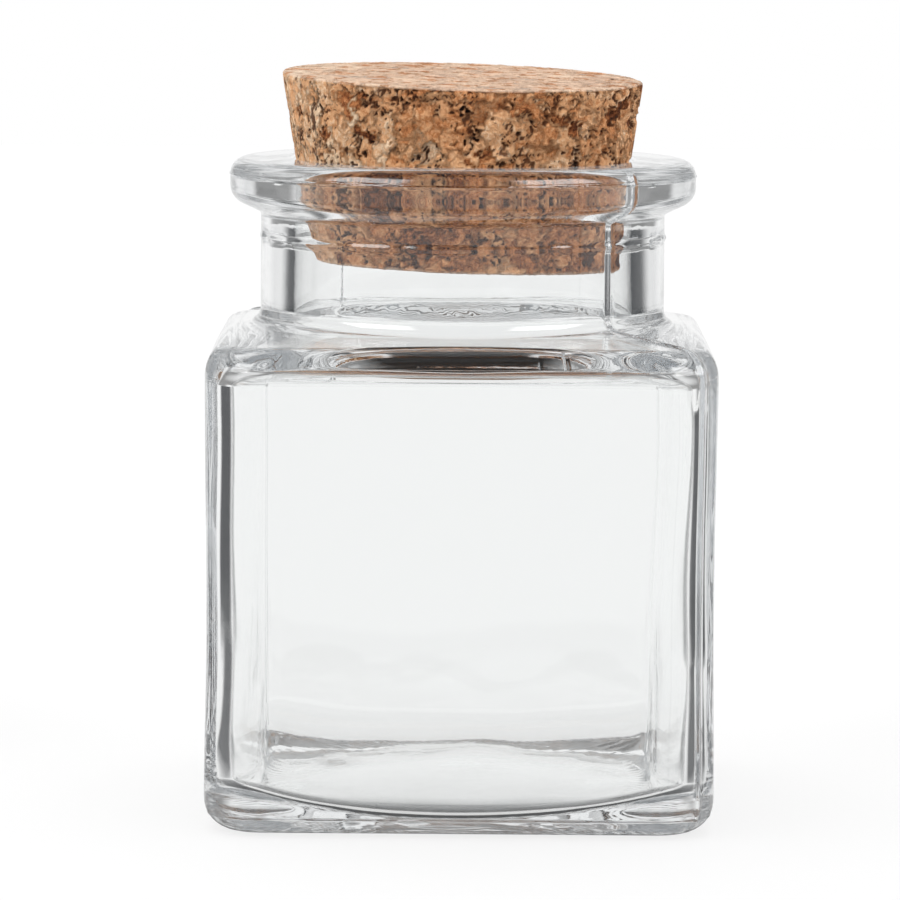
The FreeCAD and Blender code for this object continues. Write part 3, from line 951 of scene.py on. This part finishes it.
@dataclass
class CorkStopper:
    """The tapered cork, in millimetres, pressed from chips that show on its skin."""

    low: float
    high: float
    bottom_radius: float = 15.5
    top_radius: float = 18.4
    seat: float = 65.0
    edge: float = 0.35
    cells: int = 144
    rows: int = 84
    chip_gap: float = 1.9
    chip_scatter: float = 0.55
    chips_left_out: float = 0.12
    chip_spans: Triple = (1.6, 0.95, 0.55)
    span_spread: float = 0.28
    chips_near: int = 14
    chip_margin: float = 2.0
    long_warp: Span = (1.6, 0.3)
    short_warp: Span = (0.7, 0.16)
    facing_spread: float = 0.2
    facet_limit: float = 0.15
    grain_stretch: Triple = (0.45, 1.0, 1.7)
    grain_shift: float = 3.7
    tone: Span = (0.6, 0.09)
    tone_limits: Span = (0.02, 0.98)
    dark_share: float = 0.07
    dark_tones: Span = (0.05, 0.25)
    pale_share: float = 0.06
    pale_tones: Span = (0.68, 0.88)
    flank_edge: Span = (0.75, 0.4)
    skin_depth: float = 0.06
    sunk_depth: float = 0.2
    lost_share: float = 0.05
    lost_edge: Span = (0.0, 0.25)
    torn_depth: float = 0.35
    fine: Waves = Waves(91, 0.8, 0.05)
    leaf: Waves = Waves(61, 2.8, 1.0)
    leaf_edge: Span = (-0.12, 0.12)
    leaf_depth: float = 0.14
    crease_edge: Span = (0.3, 0.0)
    crease_depth: float = 0.2
    creased: Waves = Waves(67, 5.0, 1.0)
    creased_edge: Span = (-0.5, 0.5)
    joint_edge: Span = (0.2, 0.0)
    joint_depth: Span = (0.05, 0.2)
    open_joints: Waves = Waves(97, 5.0, 1.0)
    open_edge: Span = (-0.3, 0.7)
    pockets: Waves = Waves(73, 1.9, 1.0)
    pocket_fray: float = 3.0
    pocket_edge: Span = (1.45, 1.75)
    # Shares of painted shade from creases, of joint darkness and of painted shade from lost chips.
    joint_and_shade_mix: Triple = (0.85, 0.6, 0.3)
    sanded_depth: float = 0.12
    smooth_side: Span = (-8.0, -16.0)
    smooth_share: float = 0.6
    pale_side: Span = (-5.0, -17.0)
    pale_gain: float = 0.22
    # Painted shade: the cork turns darker below the mouth, inside the neck, where the glass casts no
    # shadow.
    neck_shade_heights: Span = (65.5, 63.0)
    neck_shade_loss: float = 0.14
    tilt_right: float = 0.0258
    tilt_front: float = 0.031
    lean_above: float = 0.015
    lean_below: float = 0.055
    seed: int = 7
    tear_seed: int = 47
    finish: PressedCork = field(default_factory=PressedCork)

    def disk(self) -> tuple[np.ndarray, np.ndarray]:
        """A round cap from a square net.

        Returns:
            Its points on a unit disk, and each point's number on the edge or -1.
        """
        line = np.linspace(-1, 1, self.cells + 1)
        a, b = np.meshgrid(line, line, indexing="ij")
        wide = np.abs(a) > np.abs(b)
        with np.errstate(divide="ignore", invalid="ignore"):
            turn = np.where(wide, math.pi / 4 * b / a, math.pi / 2 - math.pi / 4 * a / b)
        reach = np.where(wide, a, b)
        turn = np.where(reach == 0, 0, turn)
        points = np.stack([reach * np.cos(turn), reach * np.sin(turn)], -1)
        count = self.cells
        edge = np.full((count + 1, count + 1), -1)
        steps = np.arange(count + 1)
        edge[count, :] = steps
        edge[:, count] = 2 * count - steps
        edge[0, :] = 3 * count - steps
        edge[1:, 0] = (3 * count + steps[1:]) % (4 * count)
        edge[count, 0] = 0
        edge[0, 0] = 3 * count
        return points, edge

    def skin(self) -> tuple[np.ndarray, np.ndarray, np.ndarray]:
        """The plain tapered form.

        Returns:
            Points, outward directions and faces.
        """
        count = 4 * self.cells
        turn = -math.pi / 4 + np.arange(count) * 2 * math.pi / count
        around = np.stack([np.cos(turn), np.sin(turn)], -1)
        corners = [
            (self.bottom_radius - 3 * self.edge, self.low, 0.0),
            (self.bottom_radius, self.low, self.edge),
            (self.top_radius, self.high, self.edge),
            (self.top_radius - 3 * self.edge, self.high, 0.0),
        ]
        path = rounded_path(corners, arc_steps=5, spacing=(self.high - self.low) / self.rows)
        along = np.gradient(path, axis=0)
        along /= np.linalg.norm(along, axis=1, keepdims=True)
        side = [np.column_stack([around * r, np.full(count, z)]) for r, z in path]
        out = [np.column_stack([around * dz, np.full(count, -dr)]) for dr, dz in along]
        total = len(path) * count
        number = np.arange(total).reshape(len(path), count)
        after = np.roll(number, -1, 1)
        quads = [np.stack([number[:-1], after[:-1], after[1:], number[1:]], -1).reshape(-1, 4)]
        disk, edge = self.disk()
        inner = edge < 0
        for ring, radius, height, up in (
            (number[0], path[0, 0], self.low, -1.0),
            (number[-1], path[-1, 0], self.high, 1.0),
        ):
            cap = np.column_stack([disk[inner] * radius, np.full(inner.sum(), height)])
            names = np.where(inner, 0, ring[np.maximum(edge, 0)])
            names[inner] = total + np.arange(inner.sum())
            total += inner.sum()
            side.append(cap)
            out.append(np.broadcast_to([0, 0, up], cap.shape))
            cells = [names[:-1, :-1], names[1:, :-1], names[1:, 1:], names[:-1, 1:]]
            cells = np.stack(cells, -1).reshape(-1, 4)
            quads.append(cells if up > 0 else cells[:, ::-1])
        return np.concatenate(side), np.concatenate(out), np.concatenate(quads)

    def warp(self, points: np.ndarray) -> np.ndarray:
        """Args: points: The skin's points. Returns: How far each is moved, to fray the joints."""
        long, far = self.long_warp
        short, near = self.short_warp
        moves = np.stack([Ripple(self.seed + step, long)(points) for step in (1, 2, 3)], -1) * far
        moves += np.stack([Ripple(self.seed + step, short)(points) for step in (4, 5, 6)], -1) * near
        return moves

    def chips(self, points: np.ndarray) -> SkinChips:
        """Shares the skin out among flat chips that lie in all directions.

        Args:
            points: The skin's points.

        Returns:
            The chips at the points.
        """
        draw = np.random.default_rng(self.seed)
        reach = self.top_radius + self.chip_margin
        xs = np.arange(-reach, reach, self.chip_gap)
        zs = np.arange(self.low - self.chip_margin, self.high + self.chip_margin, self.chip_gap)
        seeds = np.stack(np.meshgrid(xs, xs, zs, indexing="ij"), -1).reshape(-1, 3)
        scatter = self.chip_scatter
        seeds = seeds + draw.uniform(-scatter, scatter, seeds.shape) * self.chip_gap
        seeds = seeds[draw.uniform(size=len(seeds)) > self.chips_left_out]
        frames = np.linalg.qr(draw.normal(size=(len(seeds), 3, 3)))[0]
        sizes = np.exp(draw.normal(0, self.span_spread, (len(seeds), 1)))
        spans = np.array(self.chip_spans) * sizes
        tree = KDTree(len(seeds))
        for number, spot in enumerate(seeds):
            tree.insert(spot, number)
        tree.balance()
        moved = points + self.warp(points)
        near = np.array([[hit[1] for hit in tree.find_n(spot, self.chips_near)] for spot in moved])
        offset = moved[:, None] - seeds[near]
        local = np.einsum("pkij,pki->pkj", frames[near], offset) / spans[near]
        distance = np.linalg.norm(local, axis=2)
        order = np.argsort(distance, axis=1)
        rows = np.arange(len(points))
        first = order[:, 0]
        gap = distance[rows, order[:, 1]] - distance[rows, first]
        chip = near[rows, first]
        facing = draw.normal(0, self.facing_spread, seeds.shape)
        facet = np.einsum("pi,pi->p", points - seeds[chip], facing[chip])
        facet = np.clip(facet, -self.facet_limit, self.facet_limit)
        grain = local[rows, first] * spans[chip] * self.grain_stretch
        grain = grain + seeds[chip] * self.grain_shift
        return SkinChips(len(seeds), chip, gap, grain, facet, seeds[chip, 0])

    def tones(self, count: int, draw: np.random.Generator) -> np.ndarray:
        """Args: count: How many chips. draw: The random numbers. Returns: How pale each chip is."""
        tone = np.clip(draw.normal(*self.tone, count), *self.tone_limits)
        kind = draw.uniform(size=count)
        tone = np.where(kind < self.dark_share, draw.uniform(*self.dark_tones, count), tone)
        return np.where(kind > 1 - self.pale_share, draw.uniform(*self.pale_tones, count), tone)

    def torn(
        self,
        points: np.ndarray,
        flank: np.ndarray,
        chips: SkinChips,
        draw: np.random.Generator,
    ) -> tuple[np.ndarray, np.ndarray]:
        """The torn skin: sunken and sloping chips, creases, pockets, lost chips and open joints.

        Args:
            points: The skin's points.
            flank: 1 on the side and 0 on the ends.
            chips: The chips at the points.
            draw: The random numbers.

        Returns:
            How deep each point lies, and how much painted shade it gets in creases, pockets and lost
            chips, with its joint's own darkness.
        """
        sunk = (draw.uniform(0, 1, chips.count) ** 2 * self.sunk_depth)[chips.number]
        lost = (draw.uniform(size=chips.count) < self.lost_share)[chips.number]
        fine = self.fine(points)
        leaf = self.leaf(chips.grain)
        crease = ease(np.abs(leaf), *self.crease_edge)
        crease *= ease(self.creased(points), *self.creased_edge)
        joint = ease(chips.gap, *self.joint_edge)
        joint *= ease(self.open_joints(points), *self.open_edge)
        frayed = self.pockets(chips.grain) + fine * self.pocket_fray
        pocket = ease(frayed, *self.pocket_edge)
        depth = sunk + self.skin_depth + chips.facet + fine
        depth += self.leaf_depth * ease(leaf, *self.leaf_edge)
        depth += lost * self.torn_depth * ease(chips.gap, *self.lost_edge)
        depth += crease * self.crease_depth + pocket * self.torn_depth
        depth *= 1 - self.smooth_share * ease(chips.side, *self.smooth_side)
        end_depth, side_depth = self.joint_depth
        depth = depth * at_least(self.sanded_depth, flank) + joint * (end_depth + side_depth * flank)
        by_crease, by_joint, by_loss = self.joint_and_shade_mix
        # Painted shade for creases, pockets and lost chips, with the joints' own darkness.
        joint_and_shade = (crease * by_crease + joint * by_joint + pocket + lost * by_loss) * flank
        return np.maximum(depth, 0.0), joint_and_shade

    def lean(self, points: np.ndarray) -> np.ndarray:
        """Args: points: The upright cork. Returns: The same, leaning and cut aslant at the top."""
        above = points[:, 2] - self.seat
        slant = points[:, 1] * np.where(above > 0, self.tilt_front, 0.0)
        slant = slant - points[:, 0] * self.tilt_right
        rise = slant * np.abs(above) / (self.high - self.seat)
        aside = above * np.where(above > 0, self.lean_above, self.lean_below)
        return points + np.column_stack([-aside, np.zeros(len(points)), rise])

    def build(self) -> bpy.types.Object:
        """Returns: The cork, riding on its body."""
        points, out, faces = self.skin()
        chips = self.chips(points)
        draw = np.random.default_rng(self.tear_seed)
        tone = self.tones(chips.count, draw)[chips.number]
        flank = ease(np.abs(out[:, 2]), *self.flank_edge)
        depth, joint_and_shade = self.torn(points, flank, chips, draw)
        points = points - out * depth[:, None]
        tone = tone + ease(chips.side, *self.pale_side) * self.pale_gain
        # Painted shade on the cork inside the neck, which the glass doesn't shade because it casts no
        # shadow.
        tone = tone - ease(points[:, 2], *self.neck_shade_heights) * self.neck_shade_loss
        cork = make_mesh("pressed_cork_stopper", self.lean(points), [faces])
        store(cork, "chip_tone_and_neck_shade", "FLOAT", np.clip(tone, 0, 1))
        store(cork, "chip_joint_and_shade", "FLOAT", joint_and_shade)
        store(cork, "chip_flank", "FLOAT", flank)
        store(cork, "chip_grain", "FLOAT_VECTOR", chips.grain)
        cork.data.materials.append(self.finish.make())
        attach(cork, "cork")
        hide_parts("cork_stopper")
        return cork


@dataclass(frozen=True)
class SoftPatch:
    """A soft-edged patch of the surroundings, by how high up and how far ahead it lies."""

    up: tuple[Span, ...]
    ahead: tuple[Span, ...]

    def cover(self, up: Wire, ahead: Wire) -> Wire:
        """Args: up: The view's rise. ahead: Its way forward. Returns: 1 inside, 0 outside."""
        edges = [up.step(*edge) for edge in self.up] + [ahead.step(*edge) for edge in self.ahead]
        return math.prod(edges[1:], start=edges[0])


@dataclass(frozen=True)
class SoftSun:
    """A very soft lamp that lights the whole floor evenly."""

    name: str
    toward: Triple
    spread: float
    strength: float

    def build(self) -> bpy.types.Object:
        """Returns: The lamp, which glass doesn't show."""
        data = bpy.data.lights.new(self.name, "SUN")
        data.angle = math.radians(self.spread)
        data.energy = self.strength
        lamp = bpy.data.objects.new(self.name, data)
        lamp.rotation_euler = Vector(self.toward).to_track_quat("-Z", "Y").to_euler()
        lamp.visible_glossy = False
        lamp.visible_transmission = False
        bpy.context.scene.collection.objects.link(lamp)
        return lamp


@dataclass(frozen=True)
class FloorFan:
    """A fan of grey felt on the floor: its turn in degrees, its reach and its height in metres.

    Its rows are evenly spaced, or else wider apart the farther out they lie.
    """

    name: str
    turn: Span
    turn_fade: float
    reach: Span
    reach_fade: Span
    height: float
    columns: int = 25
    rows: int = 17
    even: bool = False

    def net(self) -> tuple[np.ndarray, np.ndarray]:
        """Returns: Rows of points in metres, and how dense the felt is at each."""
        shares = np.linspace(0, 1, self.columns)
        angles = np.radians(self.turn[0] + (self.turn[1] - self.turn[0]) * shares)
        spaced = np.linspace if self.even else np.geomspace
        reach = spaced(*self.reach, self.rows)
        near, far = self.reach_fade
        along = ease(reach, reach[0], near) * ease(reach, self.reach[1], far)
        across = ease(shares, 0.0, self.turn_fade) * ease(shares, 1.0, 1.0 - self.turn_fade)
        flat = np.stack([np.outer(reach, np.sin(angles)), np.outer(reach, np.cos(angles))], -1)
        points = np.pad(flat, ((0, 0), (0, 0), (0, 1)), constant_values=self.height)
        return points, np.outer(along, across)


@dataclass(frozen=True)
class PaintedShadowMat:
    """An oblong of grey felt on the floor, a painted shadow under the jar's front that only glass shows:
    half its sides, how far ahead it lies and its height.
    """

    name: str
    half: Span
    half_fade: Span
    ahead: float
    height: float
    columns: int = 17
    rows: int = 13

    def net(self) -> tuple[np.ndarray, np.ndarray]:
        """Returns: Rows of points in metres, and how dense the felt is at each."""
        across = np.linspace(-1, 1, self.columns)
        along = np.linspace(-1, 1, self.rows)
        x, y = np.meshgrid(across * self.half[0], along * self.half[1] - self.ahead)
        fades = [ease(np.abs(way), 1.0, 1.0 - fade) for way, fade in zip((across, along), self.half_fade)]
        return np.stack([x, y, np.full(x.shape, self.height)], -1), np.outer(fades[1], fades[0])


@dataclass
class Studio:
    """White floor, soft light and the camera, in metres."""

    floor_size: float = 2.4
    floor_height: float = -0.00012
    floor_colour: Colour = (0.3, 0.3, 0.3, 1.0)
    floor_glow: Span = (0.44, 0.1)
    sky: float = 0.5
    room: float = 0.28
    gloom: float = 0.26
    box_glow: float = 0.5
    lamp_glow: float = 8.0
    paper_white: float = 0.95
    paper: SoftPatch = SoftPatch(up=((0.8, 0.35),), ahead=((0.92, 0.98),))
    sweep: SoftPatch = SoftPatch(up=((0.24, 0.12),), ahead=((0.55, 0.35),))
    ceiling: SoftPatch = SoftPatch(up=((0.05, 0.28),), ahead=((0.3, -0.3),))
    boxes: SoftPatch = SoftPatch(((0.42, 0.6), (0.92, 0.8)), ((0.15, 0.4), (0.9, 0.75)))
    lamps: SoftPatch = SoftPatch(((0.3, 0.4), (0.8, 0.7)), ((-0.9, -0.8), (-0.2, -0.35)))
    lamps_until_wall: Span = (0.6, 0.4)
    dark_felt: Colour = (0.05, 0.052, 0.055, 1.0)
    dark_fans: tuple[FloorFan, ...] = (
        FloorFan("left_card", (-92.0, -36.0), 0.25, (0.111, 1.17), (0.14, 0.9945), -0.000075),
        FloorFan("right_card", (28.0, 94.0), 0.25, (0.111, 1.19), (0.14, 1.0115), -0.000075),
    )
    grey_felt_and_shadow: Colour = (0.09, 0.092, 0.095, 1.0)
    felt_slant: Span = (0.02, 0.10)
    # Grey mats at the sides, and a painted shadow under the jar's front.
    side_mats_and_painted_shadow: tuple[FloorFan | PaintedShadowMat, ...] = (
        FloorFan(
            "left_mat", (-118.0, -62.0), 0.2, (0.034, 0.150), (0.048, 0.13), -0.00009,
            columns=17, rows=15, even=True,
        ),
        FloorFan(
            "right_mat", (62.0, 118.0), 0.2, (0.034, 0.150), (0.048, 0.13), -0.00009,
            columns=17, rows=15, even=True,
        ),
        # Painted shadow: grey felt under the jar's front, which only glass shows, in place of the floor's
        # shade there.
        PaintedShadowMat("painted_shadow_front_mat", (0.034, 0.021), (0.2, 0.4), 0.03, -0.00006),
    )
    suns: tuple[SoftSun, ...] = (
        SoftSun("overhead_light", (0.2, -0.15, -1.0), 80.0, 1.2),
        SoftSun("left_light", (0.75, 0.45, -0.5), 32.0, 2.4),
        SoftSun("right_light", (-0.75, 0.45, -0.5), 32.0, 2.2),
    )
    bounces: int = 160
    camera_back: float = 0.550
    camera_height: float = 0.0974
    camera_down: float = math.radians(6.39)
    camera_turn: float = math.radians(-0.12)
    camera_roll: float = math.radians(0.42)
    lens: float = 215.8
    sensor: float = 36.0
    clip_start: float = 0.01

    def world(self) -> None:
        """Soft light from all round; glass shows white paper behind and a grey room with lamps."""
        world = bpy.data.worlds.new("studio")
        bpy.context.scene.world = world
        world.use_nodes = True
        graph = ShaderGraph(world.node_tree)
        way = graph.add("ShaderNodeTexCoord", None, None, "Generated")
        side, back, up = (
            graph.add("ShaderNodeSeparateXYZ", None, {0: way}, axis) for axis in ("X", "Y", "Z")
        )
        ahead = back / (side * side + back * back + TINY) ** 0.5
        paper = self.paper.cover(up, ahead).larger(self.sweep.cover(up, ahead))
        room = self.room - self.ceiling.cover(up, ahead) * self.gloom
        room = room + self.boxes.cover(up, ahead) * self.box_glow
        mirrored = graph.rays(RayKind.WALLS_PASSED).step(*self.lamps_until_wall)
        gleam = mirrored * self.lamps.cover(up, ahead) * self.lamp_glow
        surround = room + paper * (self.paper_white - room) + gleam
        shown = graph.rays(RayKind.CAMERA).larger(surround)
        direct = graph.rays(RayKind.CAMERA, RayKind.GLOSSY, RayKind.TRANSMISSION)
        colour = direct * (shown - self.sky) + self.sky
        light = graph.add("ShaderNodeBackground", None, {"Color": colour, "Strength": 1.0})
        graph.add("ShaderNodeOutputWorld", None, {"Surface": light})

    def floor(self) -> bpy.types.Object:
        """Returns: The white floor, which keeps the object's soft shadow."""
        half = self.floor_size / 2
        low = self.floor_height
        corners = [[-half, -half, low], [half, -half, low], [half, half, low], [-half, half, low]]
        floor = make_mesh("studio_floor", np.array(corners) / MM, [np.array([[0, 1, 2, 3]])])
        material, graph = new_material("white_floor")
        matt = graph.add("ShaderNodeBsdfDiffuse", None, {"Color": self.floor_colour})
        shine = self.floor_glow[0] + graph.rays(RayKind.CAMERA) * self.floor_glow[1]
        glow = graph.add("ShaderNodeEmission", None, {"Color": shine, "Strength": 1.0})
        both = graph.add("ShaderNodeAddShader", None, {0: matt, 1: glow})
        graph.add("ShaderNodeOutputMaterial", None, {"Surface": both})
        floor.data.materials.append(material)
        return floor

    def felt(self, name: str, colour: Colour) -> bpy.types.Material:
        """A matt finish that thins out at the felt's edges and for rays that run straight across.

        Args:
            name: The material's name.
            colour: Its colour.

        Returns:
            The material.
        """
        material, graph = new_material(name)
        dark = graph.add("ShaderNodeBsdfDiffuse", None, {"Color": colour})
        clear = graph.add("ShaderNodeBsdfTransparent")
        incoming = graph.add("ShaderNodeNewGeometry", None, None, "Incoming")
        depth = graph.add("ShaderNodeSeparateXYZ", None, {0: incoming}, "Y")
        cover = graph.attribute("cover", "Fac") * (depth * depth).step(*self.felt_slant)
        soft = graph.add("ShaderNodeMixShader", None, {0: cover, 1: clear, 2: dark})
        graph.add("ShaderNodeOutputMaterial", None, {"Surface": soft})
        return material

    def lay_felt(self, piece: FloorFan | PaintedShadowMat, material: bpy.types.Material) -> None:
        """Adds a piece of felt that only glass shows.

        Args:
            piece: Its form.
            material: Its finish.
        """
        net, cover = piece.net()
        number = np.arange(cover.size).reshape(cover.shape)
        corners = [number[:-1, :-1], number[:-1, 1:], number[1:, 1:], number[1:, :-1]]
        faces = np.stack(corners, -1).reshape(-1, 4)
        felt = make_mesh(piece.name, net.reshape(-1, 3) / MM, [faces])
        store(felt, "cover", "FLOAT", cover.ravel())
        felt.data.materials.append(material)
        felt.visible_camera = False
        felt.visible_diffuse = False
        felt.visible_shadow = False

    def camera(self) -> bpy.types.Object:
        """Returns: The camera, where the photograph was taken from."""
        data = bpy.data.cameras.new("photo_camera")
        data.lens = self.lens
        data.sensor_width = self.sensor
        data.clip_start = self.clip_start
        camera = bpy.data.objects.new("photo_camera", data)
        turn = Matrix.Rotation(-self.camera_turn, 4, "Z")
        tip = Matrix.Rotation(math.pi / 2 - self.camera_down, 4, "X")
        roll = Matrix.Rotation(self.camera_roll, 4, "Z")
        place = Matrix.Translation((0, -self.camera_back, self.camera_height))
        camera.matrix_world = place @ turn @ tip @ roll
        bpy.context.scene.collection.objects.link(camera)
        bpy.context.scene.camera = camera
        return camera

    def build(self) -> None:
        """Sets up floor, light and camera."""
        scene = bpy.context.scene
        scene.view_settings.view_transform = "Standard"
        scene.cycles.max_bounces = self.bounces
        scene.cycles.transmission_bounces = self.bounces
        scene.cycles.glossy_bounces = self.bounces
        self.world()
        self.floor()
        dark = self.felt("dark_card", self.dark_felt)
        # The grey finish serves the side mats and the painted shadow under the jar's front.
        grey = self.felt("grey_mat_and_painted_shadow", self.grey_felt_and_shadow)
        for piece in self.dark_fans:
            self.lay_felt(piece, dark)
        for piece in self.side_mats_and_painted_shadow:
            self.lay_felt(piece, grey)
        for sun in self.suns:
            sun.build()
        self.camera()


def main() -> None:
    """Builds the jar, its cork and the studio."""
    logging.basicConfig(level=logging.INFO)
    _, jar_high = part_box("glass_jar")
    cork_low, cork_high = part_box("cork_stopper")
    pieces = [
        GlassJar(jar_high.x / MM, jar_high.z / MM),
        CorkStopper(cork_low.z / MM, cork_high.z / MM),
    ]
    for piece in pieces:
        made = piece.build()
        LOG.info("%s: %d faces", made.name, len(made.data.polygons))
    Studio().build()


if __name__ == "__main__":
    main()
